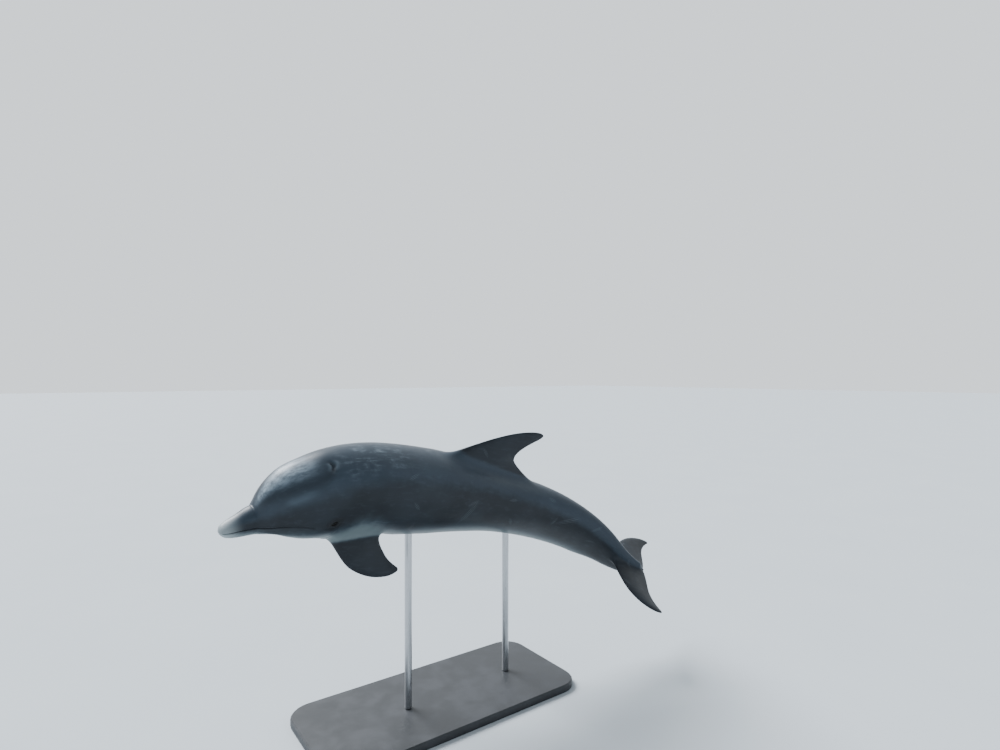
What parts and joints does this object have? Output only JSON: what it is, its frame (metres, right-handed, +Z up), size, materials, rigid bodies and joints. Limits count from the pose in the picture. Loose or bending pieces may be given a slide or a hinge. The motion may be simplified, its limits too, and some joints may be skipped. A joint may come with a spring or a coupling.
{
  "type": "bottlenose dolphin model",
  "caption": "Life-size bottlenose dolphin banking and bending its tail down, a still display model held by upright rods on a flat base.",
  "frame": {"origin": "centre of the stand base's underside", "axes": "+Z up; the nose points toward -X and the animal's left side faces -Y"},
  "size_m": [2.3266, 0.7089, 1.228],
  "materials": {
    "skin": "smooth living skin, slate grey above and pale below, damp satin",
    "eye": "polished dark brown",
    "stand_plate": "satin powder coat",
    "stand_steel": "brushed along its length"
  },
  "bodies": {
    "root": {"upper_jaw": "skin", "lower_jaw": "skin", "head": "skin", "neck": "skin", "chest": "skin", "abdomen": "skin", "tail_stock": "skin", "dorsal_fin": "skin", "flipper_left": "skin", "flipper_right": "skin", "fluke_left": "skin", "fluke_right": "skin", "eye_left": "eye", "eye_right": "eye", "stand_base": "stand_plate", "stand_rod_front": "stand_steel", "stand_rod_rear": "stand_steel"}
  },
  "joints": []
}
